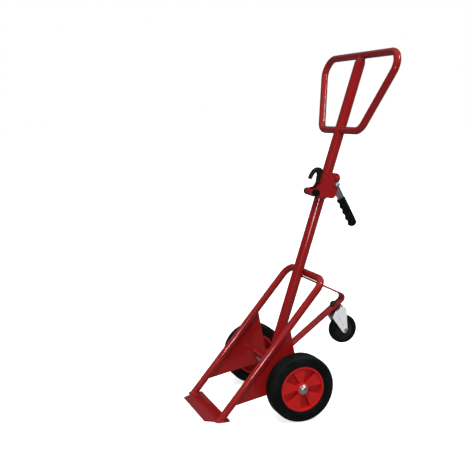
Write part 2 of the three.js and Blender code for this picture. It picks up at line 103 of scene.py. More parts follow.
# ---- outlines and paths ----
def soften(corners, radius, closed=True, steps=5):
    """A path through the corners with each corner rounded, as far as its edges allow."""
    corners = [Vector(c) for c in corners]
    out = []
    for i, here in enumerate(corners):
        if not closed and i in (0, len(corners) - 1):
            out.append(here)
            continue
        before, after = corners[i - 1] - here, corners[(i + 1) % len(corners)] - here
        toward, away = before.normalized(), after.normalized()
        half = toward.angle(away) / 2
        reach = min(radius / math.tan(half), 0.49 * before.length, 0.49 * after.length)
        if half > 1.55 or reach < 1e-4:
            out.append(here)
            continue
        centre = here + (toward + away).normalized() * (reach / math.cos(half))
        start, end = here + toward * reach - centre, here + away * reach - centre
        turn = start.angle(end)
        for k in range(steps + 1):
            share = k / steps
            out.append(centre + (start * math.sin((1 - share) * turn)
                                 + end * math.sin(share * turn)) / math.sin(turn))
    return out


def polar(centre, radius, angle):
    return Vector((centre[0] + radius * math.cos(angle), centre[1] + radius * math.sin(angle)))


def circle(radius, count=40, centre=(0, 0), start=0.0):
    return [polar(centre, radius, start + 2 * math.pi * i / count) for i in range(count)]


def arc(centre, radius, start, end):
    """Points along an arc between two angles in degrees."""
    steps = 12
    return [polar(centre, radius, math.radians(start + (end - start) * i / steps)) for i in range(steps + 1)]


def resampled(path, spacing, closed=False):
    """The path again with evenly spaced points."""
    points = list(path) + ([path[0]] if closed else [])
    lengths = [(b - a).length for a, b in zip(points, points[1:])]
    count = max(8, round(sum(lengths) / spacing))
    out, run, i = [], 0.0, 0
    for k in range(count if closed else count + 1):
        target = sum(lengths) * k / count
        while i < len(lengths) - 1 and run + lengths[i] < target:
            run += lengths[i]
            i += 1
        out.append(points[i].lerp(points[i + 1], min(1, (target - run) / max(lengths[i], 1e-9))))
    return out


# ---- solids, each as (points, faces) in millimetres ----
def joined(*parts):
    points, faces = [], []
    for part_points, part_faces in parts:
        start = len(points)
        points += part_points
        faces += [tuple(start + i for i in face) for face in part_faces]
    return points, faces


def carried(part, matrix):
    return [matrix @ p for p in part[0]], part[1]


def skin(rings, closed=False, caps=True):
    """Quads between rings of equally many points, with the two end rings capped."""
    count = len(rings[0])
    points = [p for ring in rings for p in ring]
    faces = []
    for i in range(len(rings) if closed else len(rings) - 1):
        a, b = i * count, (i + 1) % len(rings) * count
        faces += [(a + k, a + (k + 1) % count, b + (k + 1) % count, b + k) for k in range(count)]
    if caps and not closed:
        faces += [tuple(reversed(range(count))), tuple(range(len(points) - count, len(points)))]
    return points, faces


def lathe(profile, centre=(0, 0), count=56, closed=True):
    """A turned piece about the third axis from (radius, along) points."""
    return skin([[p.to_3d() + Vector((0, 0, along)) for p in circle(radius, count, centre)]
                 for radius, along in profile], closed, caps=False)


def standing(profile, closed=True):
    """A turned piece about the second axis."""
    return carried(lathe(profile, closed=closed), STAND)


def thread(start, pitch, turns, crest, root, steps):
    """Profile points of a screw thread; the steps are the crest's end and the root's two ends."""
    return [(radius, start + pitch * turn + step) for turn in range(turns)
            for radius, step in zip((crest, crest, root, root), (0, *steps))]


def sweep(path, radius, sides=32, closed=False):
    """A round bar along a path; the radius is one number or one for each point."""
    radii = radius if isinstance(radius, list) else [radius] * len(path)
    last = len(path) - 1
    rings, normal = [], None
    for i, (here, size) in enumerate(zip(path, radii)):
        before = path[i - 1] if closed or i > 0 else here
        after = path[(i + 1) % len(path)] if closed or i < last else here
        tangent = (after - before).normalized()
        normal = normal or tangent.orthogonal()
        normal = (normal - tangent * normal.dot(tangent)).normalized()
        side = tangent.cross(normal)
        rings.append([here + (normal * p.x + side * p.y) for p in circle(size, sides)])
    return skin(rings, closed)


def inset(loop, distance):
    """The loop moved inward by a distance; the loop runs anticlockwise."""
    out = []
    for i, here in enumerate(loop):
        a, b = (here - loop[i - 1]), (loop[(i + 1) % len(loop)] - here)
        a, b = (a if a.length > 1e-9 else b).normalized(), (b if b.length > 1e-9 else a).normalized()
        normal = Vector((-a.y - b.y, a.x + b.x))
        normal = normal.normalized() if normal.length > 1e-6 else Vector((-a.y, a.x))
        lean = max(0.5, normal.dot(Vector((-a.y, a.x))))
        out.append(here + normal * (distance / lean))
    return out


def area(loop):
    return sum(a.cross(b) for a, b in zip(loop, loop[1:] + loop[:1])) / 2


def plate(outline, low, high, holes=(), edge=0.8):
    """A flat plate between two heights with rounded-over edges; holes are (a, b, radius)."""
    outline = [Vector(p) for p in outline]
    loops = [outline if area(outline) > 0 else outline[::-1]]
    loops += [circle(radius, 32, (a, b)) for a, b, radius in holes]
    levels = [(low, edge), (low + 0.3 * edge, 0.3 * edge), (low + edge, 0),
              (high - edge, 0), (high - 0.3 * edge, 0.3 * edge), (high, edge)]
    parts, ends = [], []
    for number, loop in enumerate(loops):
        chamfer = 1 if number == 0 else -0.5
        rings = [[p.to_3d() + Vector((0, 0, level)) for p in inset(loop, chamfer * back)]
                 for level, back in levels]
        parts.append(skin(rings, caps=False))
        ends.append((rings[0], rings[-1]))
    for end in (0, 1):
        flat = [pair[end] for pair in ends]
        faces = tessellate_polygon([[Vector((p.x, p.y, 0)) for p in ring] for ring in flat])
        parts.append(([p for ring in flat for p in ring], [tuple(f) for f in faces]))
    return joined(*parts)


def hexagonal(centre, flats, bore, low, high, turn=0.0, both=True):
    """A nut or bolt head with chamfered corners; a bore of 0 makes it solid."""
    inner = flats / 2 * 0.95

    def ring(kind, along, sign=0):
        out = []
        for p in circle(1, 72, start=turn):
            angle = (math.atan2(p.y, p.x) - turn + math.pi / 6) % (math.pi / 3) - math.pi / 6
            corner = flats / 2 / math.cos(angle)
            radius = {"bore": bore, "flat": inner, "side": corner}[kind]
            drop = sign * (corner - inner) * 0.6
            out.append(Vector((centre[0] + p.x * radius, centre[1] + p.y * radius, along + drop)))
        return out

    rings = [ring("bore", low), ring("flat", low), ring("side", low, 1 if both else 0),
             ring("side", high, -1), ring("flat", high), ring("bore", high)]
    return skin(rings, closed=True)


def washer(centre, inner, outer, low, high):
    edge = 0.4
    return lathe([(inner, low), (outer - edge, low), (outer, low + edge), (outer, high - edge),
                  (outer - edge, high), (inner, high)], centre)


def bead(path, size=2.4, closed=False):
    """A weld's bead of overlapping ripples along a path."""
    points = resampled(path, 0.75, closed)
    radii = []
    for i in range(len(points)):
        ripple = 0.86 + 0.2 * abs(math.sin(math.pi * i / 3.3))
        taper = 1 if closed else min(1, 0.45 + 0.2 * min(i, len(points) - 1 - i))
        radii.append(size * ripple * taper)
    return sweep(points, radii, sides=10, closed=closed)


def trimmed(part, point, normal):
    """The part with everything on the normal's side of a plane cut away and the cut closed."""
    mesh = bpy.data.meshes.new("trimmed")
    mesh.from_pydata(part[0], [], part[1])
    form = bmesh.new()
    form.from_mesh(mesh)
    bmesh.ops.remove_doubles(form, verts=form.verts, dist=1e-4)
    cut = bmesh.ops.bisect_plane(form, geom=form.verts[:] + form.edges[:] + form.faces[:],
                                 plane_co=point, plane_no=normal, clear_outer=True)
    rim = [e for e in cut["geom_cut"] if isinstance(e, bmesh.types.BMEdge)]
    bmesh.ops.holes_fill(form, edges=rim, sides=0)
    form.to_mesh(mesh)
    form.free()
    out = [v.co.copy() for v in mesh.vertices], [tuple(f.vertices) for f in mesh.polygons]
    bpy.data.meshes.remove(mesh)
    return out


def add(name, part, where, finish, body, *replaced, crease=38):
    """One piece in its place: named, smoothed, finished, riding on its body."""
    mesh = bpy.data.meshes.new(name)
    mesh.from_pydata([where @ p for p in part[0]], [], part[1])
    form = bmesh.new()
    form.from_mesh(mesh)
    bmesh.ops.remove_doubles(form, verts=form.verts, dist=2e-6)
    bmesh.ops.recalc_face_normals(form, faces=form.faces)
    form.to_mesh(mesh)
    form.free()
    mesh.shade_smooth()
    mesh.set_sharp_from_angle(angle=math.radians(crease))
    mesh.materials.append(finish.material)
    piece = bpy.data.objects.new(name, mesh)
    scene.collection.objects.link(piece)
    piece.modifiers.new("even_shading", "WEIGHTED_NORMAL").keep_sharp = True
    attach(piece, body)
    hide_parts(*replaced)
    return piece


# ---- finishes ----
class Value:
    """A number that varies over a surface; arithmetic on it adds Math nodes."""

    def __init__(self, finish, socket):
        self.finish, self.socket = finish, socket

    def math(self, operation, first, second):
        return self.finish.node("ShaderNodeMath", {"operation": operation}, {0: first, 1: second})

    def __add__(self, other):
        return self.math("ADD", self, other)

    def __radd__(self, other):
        return self.math("ADD", other, self)

    def __rsub__(self, other):
        return self.math("SUBTRACT", other, self)

    def __mul__(self, other):
        return self.math("MULTIPLY", self, other)

    def __rmul__(self, other):
        return self.math("MULTIPLY", other, self)


class Finish:
    """A procedural material and the record's slot that it belongs to."""

    def __init__(self, slot, **uniform):
        self.slot = slot
        self.material = bpy.data.materials.new(slot)
        self.material.use_nodes = True
        self.tree = self.material.node_tree
        self.surface = self.tree.nodes["Principled BSDF"]
        for socket, value in uniform.items():
            self.surface.inputs[socket.replace("_", " ")].default_value = value
        self.at = self.node("ShaderNodeTexCoord", {}, {}, "Object")

    def node(self, kind, settings, inputs, output=0):
        """A new shader node's output; each input is a plain value or another node's output."""
        made = self.tree.nodes.new(kind)
        for setting, value in settings.items():
            setattr(made, setting, value)
        for socket, value in inputs.items():
            if isinstance(value, Value):
                self.tree.links.new(value.socket, made.inputs[socket])
            else:
                made.inputs[socket].default_value = value
        return Value(self, made.outputs[output])

    def noise(self, scale, detail=3.0, at=None):
        return self.node("ShaderNodeTexNoise", {},
                         {"Vector": at or self.at, "Scale": scale, "Detail": detail, "Roughness": 0.55})

    def cells(self, scale, feature):
        return self.node("ShaderNodeTexVoronoi", {"feature": feature}, {"Vector": self.at, "Scale": scale})

    def stretched(self, scale, rotation):
        return self.node("ShaderNodeMapping", {}, {"Vector": self.at, "Scale": scale, "Rotation": rotation})

    def mask(self, value, low, high):
        """0 below low, 1 above high, and smooth between."""
        return self.node("ShaderNodeMapRange", {"interpolation_type": "SMOOTHSTEP"},
                         {"Value": value, "From Min": low, "From Max": high})

    def mix(self, share, first, second):
        return self.node("ShaderNodeMix", {"data_type": "RGBA"}, {0: share, 6: first, 7: second}, 2)

    def set(self, **varying):
        for socket, value in varying.items():
            self.tree.links.new(value.socket, self.surface.inputs[socket.replace("_", " ")])

    def bump(self, height, strength, depth):
        settings = {"Height": height, "Strength": strength, "Distance": depth}
        self.set(Normal=self.node("ShaderNodeBump", {}, settings))

    def rim(self, low, high):
        """A mask for painted shade: 0 on a face seen square on, rising to 1 toward a round piece's outline.
        """
        return self.mask(self.node("ShaderNodeLayerWeight", {}, {"Blend": 0.5}, "Facing"), low, high)

    def edges(self, low, high):
        """1 on the piece's outer edges and corners."""
        return self.mask(self.node("ShaderNodeNewGeometry", {}, {}, "Pointiness"), low, high)


def grey(level):
    return (level, level, level, 1)


# Glossy enamel: faint orange peel, cloudy depth and a few rubbed edges, with painted shade that darkens the
# red toward each round piece's outline.
paint = Finish("frame_paint", Specular_IOR_Level=0.12, Coat_Roughness=0.09, Coat_IOR=1.5)
cloud = paint.noise(9, 2)
fleck = paint.noise(260, 2)
rub = paint.edges(0.53, 0.6) * paint.mask(paint.noise(60, 4), 0.52, 0.66)
red = paint.mix(cloud, (0.27, 0.007, 0.008, 1), (0.36, 0.010, 0.011, 1))
# painted shade: the red turns dark toward the outline of tubes and other round pieces
red = paint.mix(paint.rim(0.5, 1.0), red, (0.045, 0.001, 0.002, 1))
red = paint.mix(paint.mask(fleck, 0.68, 0.8) * 0.3, red, (0.22, 0.006, 0.007, 1))
paint.set(Base_Color=paint.mix(rub * 0.5, red, (0.45, 0.07, 0.07, 1)),
          Roughness=0.24 + 0.10 * cloud + 0.25 * rub,
          Coat_Weight=0.8 - 0.5 * rub)
paint.bump(paint.noise(420, 1) + 0.6 * paint.noise(110, 2), 0.12, 0.0004)

# Moulded polypropylene wheel centre.
hub_red = Finish("hub_plastic", Specular_IOR_Level=0.25)
flow = hub_red.noise(34, 3)
hub_red.set(Base_Color=hub_red.mix(flow, (0.48, 0.009, 0.010, 1), (0.60, 0.013, 0.014, 1)),
            Roughness=0.30 + 0.12 * hub_red.noise(700, 1))
hub_red.bump(hub_red.noise(900, 1), 0.10, 0.0003)

# Vulcanised tyre rubber: a cloudy dull bloom and fine pitting.
tyre_black = Finish("tyre_rubber", Specular_IOR_Level=0.2)
bloom = tyre_black.mask(tyre_black.noise(22, 4), 0.35, 0.75)
tyre_black.set(Base_Color=tyre_black.mix(bloom, (0.002, 0.003, 0.003, 1), (0.006, 0.009, 0.009, 1)),
               Roughness=0.50 + 0.18 * bloom)
tyre_black.bump(tyre_black.noise(850, 2) + 0.5 * tyre_black.noise(140, 2), 0.25, 0.0004)

# Moulded soft rubber with a fine stipple.
grip_black = Finish("soft_rubber", Specular_IOR_Level=0.18)
stipple = grip_black.cells(900, "F1")
mottle = grip_black.noise(60, 3)
grip_black.set(Base_Color=grip_black.mix(mottle, (0.001, 0.002, 0.002, 1), (0.003, 0.005, 0.004, 1)),
               Roughness=0.46 + 0.2 * grip_black.noise(80, 2))
grip_black.bump(stipple, 0.35, 0.0005)

# Bright zinc plate with a faint blue-yellow cast.
zinc = Finish("zinc", Metallic=1.0)
cast = zinc.noise(70, 3)
spangle = zinc.cells(260, "SMOOTH_F1")
zinc.set(Base_Color=zinc.mix(cast, (0.74, 0.76, 0.80, 1), (0.88, 0.88, 0.86, 1)),
         Roughness=0.27 + 0.14 * cast + 0.06 * spangle)
zinc.bump(zinc.noise(600, 2), 0.10, 0.0003)

# The pressed fork's zinc plating as two copies with painted light: painted shade and a dark painted
# reflection make the crown darker and bluish, and a painted highlight makes the legs pale and dull.
shaded_crown_zinc = Finish("zinc", Metallic=1.0)
haze = shaded_crown_zinc.noise(60, 3)
shaded_crown_zinc.set(Base_Color=shaded_crown_zinc.mix(haze, (0.42, 0.47, 0.52, 1), (0.60, 0.65, 0.70, 1)),
               Roughness=0.26 + 0.12 * haze)
# painted highlight: the legs' plating is painted near white and given almost no metal sheen
lit_fork_zinc = Finish("zinc", Metallic=0.1, Specular_IOR_Level=0.5)
frost = lit_fork_zinc.noise(40, 3)
lit_fork_zinc.set(Base_Color=lit_fork_zinc.mix(frost, (0.88, 0.91, 0.94, 1), (0.97, 0.98, 0.98, 1)),
              Roughness=0.34 + 0.14 * frost)
lit_fork_zinc.bump(lit_fork_zinc.noise(500, 2), 0.12, 0.0003)

# Drawn flat bar, left bright, with lengthwise scratches.
steel = Finish("bare_steel", Metallic=1.0)
drawn = steel.noise(1, 3, steel.stretched((700, 90, 700), (math.radians(-61), 0, 0)))
smudge = steel.noise(45, 3)
steel.set(Base_Color=steel.mix(drawn, (0.46, 0.49, 0.49, 1), (0.70, 0.73, 0.72, 1)),
          Roughness=0.32 + 0.16 * smudge + 0.10 * drawn)
steel.bump(drawn, 0.15, 0.0003)

# Oiled black-oxide steel, worn paler on its edges.
dark = Finish("dark_steel", Metallic=0.85)
tarnish = dark.noise(90, 4)
worn = dark.edges(0.53, 0.60)
oxide = dark.mix(tarnish, (0.020, 0.018, 0.018, 1), (0.060, 0.050, 0.046, 1))
dark.set(Base_Color=dark.mix(worn * 0.7, oxide, (0.22, 0.20, 0.19, 1)),
         Roughness=0.36 + 0.22 * tarnish)
dark.bump(dark.noise(500, 3), 0.2, 0.0004)

# Moulded nylon of the castor wheel's centre.
castor_black = Finish("castor_plastic", Specular_IOR_Level=0.45)
nylon = castor_black.mix(castor_black.noise(50, 3), (0.007, 0.007, 0.008, 1), (0.016, 0.016, 0.018, 1))
castor_black.set(Base_Color=nylon,
                 Roughness=0.36 + 0.2 * castor_black.noise(120, 2))
castor_black.bump(castor_black.noise(800, 1), 0.15, 0.0003)


# ---- mast and handle ----
# Rings of the mast: how far up, half its depth and half its width. It is pressed flatter at its
# top, where it meets the handle's bar.
mast_rings = [(148, 16, 16), (149, 18.4, 18.4), (151, MAST_R, MAST_R)]
mast_rings += [(along, MAST_R, MAST_R) for along in (400, 700, 1000, 1274)]
mast_rings += [(1280, 18.4, 19), (1286, 16.6, 19), (1292, 14.2, 18.8), (1296, 12.8, 18.5), (1300, 11.8, 18),
               (1303, 10, 17)]
mast = skin([[Vector((p.x * depth, along, p.y * width)) for p in circle(1, 56)]
             for along, depth, width in mast_rings])
add("mast", mast, MAST, paint, "frame", "mast_tube")

LOW_BAR, TOP_BAR = 1028, 1307   # the handle's two bars, up along the mast
LOW_HALF, TOP_HALF = 146, 289   # and half their lengths
HANDLE_BEND_R = 50
handle_corners = [Vector((0, w, x)) for x, w in
                  ((8, LOW_BAR), (LOW_HALF, LOW_BAR), (TOP_HALF, TOP_BAR),
                   (-TOP_HALF, TOP_BAR), (-LOW_HALF, LOW_BAR), (-8, LOW_BAR))]
handle = sweep(soften(handle_corners, HANDLE_BEND_R, closed=False, steps=14), TUBE_R)
add("handle", handle, MAST, paint, "frame", "handle_loop")


def saddle(side):
    """The line where the handle's lower bar meets the mast's side."""
    out = []
    for p in circle(TUBE_R, 40):
        v = p.x * 0.999   # a hair inside the bar's edge
        out.append(Vector((v, LOW_BAR + p.y, side * math.sqrt(MAST_R ** 2 - v ** 2))))
    return out


top_seam = []
for p in circle(1, 40):
    v = 12 * p.y
    top_seam.append(Vector((v, TOP_BAR - math.sqrt(TUBE_R ** 2 - v ** 2), 18.2 * p.x)))
handle_welds = joined(bead(saddle(1), 2.5, closed=True), bead(saddle(-1), 2.5, closed=True),
                      bead(top_seam, 1.9, closed=True))
add("handle_welds", handle_welds, MAST, paint, "frame")

# ---- hoop, cross tube, gussets and foot plate ----
HOOP_FOOT_Y, HOOP_SLOPE = -270.1, 0.8385   # where a leg meets the floor and how it leans back
HOOP_X = 147
HOOP_TOP = 465
HOOP_BEND_R = 42
LEG = Vector((0, HOOP_SLOPE, 1)).normalized()
LEG_AHEAD = Vector((0, -LEG.z, LEG.y))   # square to the leg in the side view
PLATE_TOP = 5


def hoop_y(z):
    return HOOP_FOOT_Y + HOOP_SLOPE * z


# The legs run on below the floor before they are cut off in the foot plate's thickness.
hoop_corners = [Vector((x, hoop_y(z), z)) for x, z in
                ((HOOP_X, -12), (HOOP_X, HOOP_TOP), (-HOOP_X, HOOP_TOP), (-HOOP_X, -12))]
hoop = sweep(soften(hoop_corners, HOOP_BEND_R, closed=False, steps=14), TUBE_R)
hoop = trimmed(hoop, Vector((0, 0, PLATE_TOP - 1)), Vector((0, 0, -1)))
add("hoop_tube", hoop, UPRIGHT, paint, "frame", "hoop")

CROSS_Y, CROSS_Z, CROSS_R = -16.76, 140, 11
CROSS_END = GUSSET_IN + 1
cross = sweep([Vector((x, CROSS_Y, CROSS_Z)) for x in (-CROSS_END, 0, CROSS_END)], CROSS_R)
add("cross_member", cross, UPRIGHT, paint, "frame", "cross_tube")

foot = soften([(158, -231), (156, -255), (121, -313), (-121, -313), (-156, -255), (-158, -231)], 7)
add("toe_plate", plate(foot, 0, PLATE_TOP, edge=1.2), UPRIGHT, paint, "frame", "foot_plate")


def leg_point(side, z, out, ahead):
    """A point beside a leg's centre line: out across the dolly, and ahead of it in the side view."""
    return Vector((side * (HOOP_X + out), hoop_y(z), z)) + LEG_AHEAD * ahead


gusset = soften([(-9.4, 314), (-230, 49.5), (31.7, 101.7)], 9)
hoop_welds = []
for side, label in ((1, "right"), (-1, "left")):
    low, high = (GUSSET_IN, GUSSET_OUT) if side > 0 else (-GUSSET_OUT, -GUSSET_IN)
    add(f"side_plate_{label}", plate(gusset, low, high, [(0, AXLE_Z, 8.1)], edge=1.0), SIDEWAYS, paint,
        "frame", f"gusset_{label}")
    foot_ring = []
    for p in circle(TUBE_R + 0.4, 40):
        start = leg_point(side, PLATE_TOP, 0, -p.y) + ACROSS * p.x
        foot_ring.append(start - LEG * ((start.z - PLATE_TOP - 0.6) / LEG.z))
    hoop_welds.append(bead(foot_ring, 2.8, closed=True))
    # short runs of weld between the gusset and the leg, one on each face of the plate
    for run in ((70, 105), (165, 205), (262, 296)):
        for out, ahead in ((6.2, -11.0), (-1.2, -13.3)):
            hoop_welds.append(bead([leg_point(side, z, out, ahead) for z in run], 2.0))
    cross_ring = [Vector((side * (GUSSET_IN - 0.6), CROSS_Y + p.x, CROSS_Z + p.y))
                  for p in circle(CROSS_R + 0.6, 36)]
    hoop_welds.append(bead(cross_ring, 2.4, closed=True))
add("frame_welds", joined(*hoop_welds), UPRIGHT, paint, "frame")

# The crossbar is welded to the back of the mast along both its edges.
HOOP_ON_MAST = (hoop_y(HOOP_TOP) - MAST_FOOT.y) * ALONG.y + HOOP_TOP * ALONG.z
mast_welds = []
for step in (-7.2, 7.2):
    line = [Vector((math.sqrt(MAST_R ** 2 - x ** 2) + 0.9, HOOP_ON_MAST + step, x))
            for x in range(-14, 15, 2)]
    mast_welds.append(bead(line, 3.4))
foot_seam = [Vector((10.5 * p.y, 149.5 + 4.5 * p.x ** 2, 17.5 * p.x)) for p in circle(1, 40)]
mast_welds.append(bead(foot_seam, 2.8, closed=True))

# ---- castor bracket: a flat bar bent into a V between the mast and the castor ----
STRIP_T, STRIP_HALF = 6.5, 20   # thickness and half-width
STRIP_BEND_R = 16
STRIP_SUNK = 2   # how far each end reaches into the mast's wall
strip_line = soften([STRIP_LOW - (STRIP_BEND - STRIP_LOW).normalized() * STRIP_SUNK, STRIP_BEND,
                     STRIP_HIGH + (STRIP_HIGH - STRIP_BEND).normalized() * STRIP_SUNK],
                    STRIP_BEND_R, closed=False, steps=12)


def offset_line(line, distance):
    """The open line moved sideways by a distance."""
    out = []
    for i, here in enumerate(line):
        run = line[min(i + 1, len(line) - 1)] - line[max(i - 1, 0)]
        out.append(here + Vector((-run.y, run.x)).normalized() * distance)
    return out


strip = offset_line(strip_line, STRIP_T / 2) + offset_line(strip_line, -STRIP_T / 2)[::-1]
add("castor_strip", plate(strip, -STRIP_HALF, STRIP_HALF, edge=1.1), SIDEWAYS, paint,
    "frame", "castor_bracket")
for end in (STRIP_LOW, STRIP_HIGH):
    run = (STRIP_BEND - end).normalized()
    rise = Vector((0, *run)).dot(ALONG) / Vector((0, *run)).dot(BEHIND)
    for face in (1, -1):
        base = end + Vector((-run.y, run.x)) * face * (STRIP_T / 2 + 0.5)
        base = Vector((0, *base)) - MAST_FOOT
        line = []
        for x in range(-18, 19, 2):   # where the strip's face meets the mast's surface
            surface = math.sqrt(MAST_R ** 2 - x ** 2) + 0.6
            line.append(Vector((surface, base.dot(ALONG) + rise * (surface - base.dot(BEHIND)), x)))
        mast_welds.append(bead(line, 2.4))
add("mast_welds", joined(*mast_welds), MAST, paint, "frame")

# ---- main wheels ----
SPOKES = 5
SPOKE_PHASE = -44
PITCH = 360 / SPOKES


def moulded_ring(radius, floor, top, half, wall):
    """One ring of a spoked moulding: floor between the spokes, top on them, sloped walls.

    A spoke's half-width and the run of its walls are angles in degrees.
    """
    rise = [(1.0, 0.0), (0.75, 0.12), (0.5, 0.5), (0.25, 0.88), (0.0, 1.0)]
    beside = (PITCH / 2 + half + wall) / 2
    levels = [(-PITCH / 2, 0), (-beside, 0)] + [(-(half + wall * out), up) for out, up in rise]
    levels += [(half * share, 1) for share in (-0.75, -0.5, -0.25, 0, 0.25, 0.5, 0.75)]
    levels += [(half + wall * out, up) for out, up in reversed(rise)] + [(beside, 0)]
    ring = []
    for spoke in range(SPOKES):
        for offset, level in levels:
            point = polar((0, 0), radius, math.radians(SPOKE_PHASE + PITCH * spoke + offset))
            ring.append(point.to_3d() + Vector((0, 0, floor + (top - floor) * level)))
    return ring


def hub_part():
    """A wheel centre with wide flat spokes outside and thin ribs inside.

    Each ring is a radius, the height between the spokes and the height on them.
    """
    front = [(10.4, 27.6, 27.6), (11.2, 28.4, 28.4), (19.2, 28.4, 28.4), (20.7, 27.6, 27.6),
             (21.5, 25.4, 25.4), (22.2, 16, 23.6), (23.4, 10, 23.1)]
    front += [(radius, 9, 23) for radius in (26, 34, 46, 58, 65)]
    front += [(67.4, 9.3, 22.9), (69, 11, 22.6), (70.2, 20, 22.4), (70.9, 25, 25), (71.7, 26.7, 26.7),
              (73, 27, 27), (76.6, 27, 27), (78.3, 26.3, 26.3), (79, 24.8, 24.8)]
    back = [(79, -24.8, -24.8), (78.3, -26.3, -26.3), (76.6, -27, -27), (72.6, -27, -27),
            (71.3, -26.2, -26.2), (70.8, -23, -23), (70.4, -6, -22), (69.6, 2.5, -22)]
    back += [(radius, 4, -22) for radius in (67.5, 50, 34, 25)]
    back += [(22.8, 3, -22), (21.6, -2, -22.2), (21.1, -22, -23), (21, -37.6, -37.6),
             (20, -38.9, -38.9), (11.2, -38.9, -38.9), (10.4, -38, -38)]
    rings = []
    for radius, floor, top in front:
        spoke_half = 16 + 5 * (radius - 19) / 53.5   # 16 degrees at the boss, 21 at the rim
        rings.append(moulded_ring(radius, floor, top, spoke_half, math.degrees(3.2 / radius)))
    for radius, floor, top in back:
        rib_half, rib_wall = math.degrees(2.6 / radius), math.degrees(1.6 / radius)
        rings.append(moulded_ring(radius, floor, top, rib_half, rib_wall))
    return skin(rings, closed=True)


def tyre_part():
    """A tyre with a bead, two lines on its sidewall and four grooves round its tread."""
    sidewall = [(79.2, 26.4), (80.4, 27.7), (84.6, 28.7), (85.4, 28.1), (86.4, 28.1), (87.2, 29.2),
                (91, 29.9), (97, 30), (98, 29.4), (99, 30), (107, 30)]
    shoulder = [(109.8, 29.6), (112.2, 28.3), (114.2, 26), (115.4, 23.2), (115.9, 20.4)]
    tread = [(115.9, 18.6), (115.5, 18.1), (113.3, 17.7), (113.1, 17.2), (113.1, 15.8), (113.3, 15.3),
             (115.6, 14.9), (115.95, 14.4), (116, 7.6), (115.6, 7.1), (113.4, 6.8), (113.2, 6.3),
             (113.2, 4.9), (113.4, 4.4), (115.7, 4.1), (116, 3.6)]
    half = sidewall + shoulder + tread
    return lathe(half + [(radius, -along) for radius, along in reversed(half)], count=120)


def socket_head(centre, radius, low, high):
    """A low domed screw head with a hexagon socket."""
    count, rise = 48, high - low
    dome = [(0, 0), (1, 0), (1, 0.35), (0.93, 0.62), (0.76, 0.85), (0.55, 0.96), (0.42, 1)]
    rings = [[p.to_3d() + Vector((0, 0, low + up * rise)) for p in circle(radius * size, count, centre)]
             for size, up in dome]
    for along in (high - 0.1, high - 0.36 * rise):
        ring = []
        for i in range(count):
            angle = 2 * math.pi * i / count
            reach = radius * 0.33 / math.cos((angle + math.pi / 6) % (math.pi / 3) - math.pi / 6)
            ring.append(polar(centre, reach, angle).to_3d() + Vector((0, 0, along)))
        rings.append(ring)
    rings.append([Vector((*centre, high - 0.4 * rise))] * count)
    return skin(rings, caps=False)


# A wheel's third axis points out of the dolly; 0 is the middle of the tyre.
inner, outer = GUSSET_IN - WHEEL_X, GUSSET_OUT - WHEEL_X
CAP_FOOT = 31.2
axle = ([(0, inner - 16), (6.6, inner - 16), (7.6, inner - 15)]
        + thread(inner - 14.6, 2, 6, 7.9, 7.1, (0.4, 1, 1.4))
        + [(7.95, inner - 2), (7.95, CAP_FOOT), (0, CAP_FOOT)])
spacer = [(8.2, outer + 0.2), (12.4, outer + 0.2), (13, outer + 0.8), (13, -40.2), (12.4, -39.6),
          (8.2, -39.6)]
cap_dome = [(0, CAP_FOOT), (14.2, CAP_FOOT), (14.9, 31.9), (15, 33.2), (14.2, 34.4), (13.2, 34.9),
            (12.6, 36), (11, 37.6), (8.2, 39.1), (4.6, 40), (0, 40.3)]
for side, label in ((1, "right"), (-1, "left")):
    where, body = wheel_place(side), f"{label}_wheel"
    add(f"tread_{label}", tyre_part(), where, tyre_black, body, f"tyre_{label}", crease=32)
    add(f"wheel_centre_{label}", hub_part(), where, hub_red, body, f"hub_{label}", crease=42)
    nut = hexagonal((0, 0), 24, 8.2, inner - 15, inner - 2.6, turn=0.2 * side)
    for name, part, replaced in (
            ("cap", lathe(cap_dome, closed=False), "hub_cap"),
            ("outer_washer", washer((0, 0), 8.3, 17, 28.8, 31.1), "hub_washer"),
            ("axle", lathe(axle, closed=False), "stub_axle"),
            ("nut", nut, "axle_nut"),
            ("inner_washer", washer((0, 0), 8.2, 14, inner - 2.4, inner - 0.2), "axle_washer"),
            ("spacer", lathe(spacer), "axle_spacer")):
        add(f"{name}_{label}", part, where, zinc, "frame", f"{replaced}_{label}")

# ---- swivel castor ----
race = [(6.6, -3.4), (22.8, -3.4), (23.9, -3.9), (24, -5.2), (23.2, -6), (22.2, -6.3), (22.2, -7.1),
        (23.3, -7.5), (23.8, -8.3), (23.4, -9.6), (22.4, -10.1), (6.6, -10.1)]
add("ball_race", standing(race), CASTOR, dark, "frame", "castor_race")
stem = ([(0, -21), (7, -20.6), (10.2, -18.6), (11, -16.4), (11, -14.8), (10.4, -14.4), (6, -14.4), (6, 6)]
        + thread(6, 1.4, 8, 5.95, 5.3, (0.25, 0.7, 0.95)) + [(5.6, 17), (4.9, 17.5), (0, 17.5)])
add("king_pin", standing(stem, closed=False), CASTOR, dark, "frame", "castor_stem")
pin_washer = [(6.5, 3.3), (12, 3.3), (12.5, 3.8), (12.5, 4.8), (12, 5.3), (6.5, 5.3)]
add("pin_washer", standing(pin_washer), CASTOR, dark, "frame", "castor_washer")
pin_nut = carried(hexagonal((0, 0), 19, 6.1, 5.5, 15.6, turn=0.3), STAND)
add("pin_nut", pin_nut, CASTOR, dark, "frame", "castor_nut")


def squared(value, power):
    """A circle's sine or cosine pushed outward, which squares the circle off."""
    return math.copysign(abs(value) ** power, value)


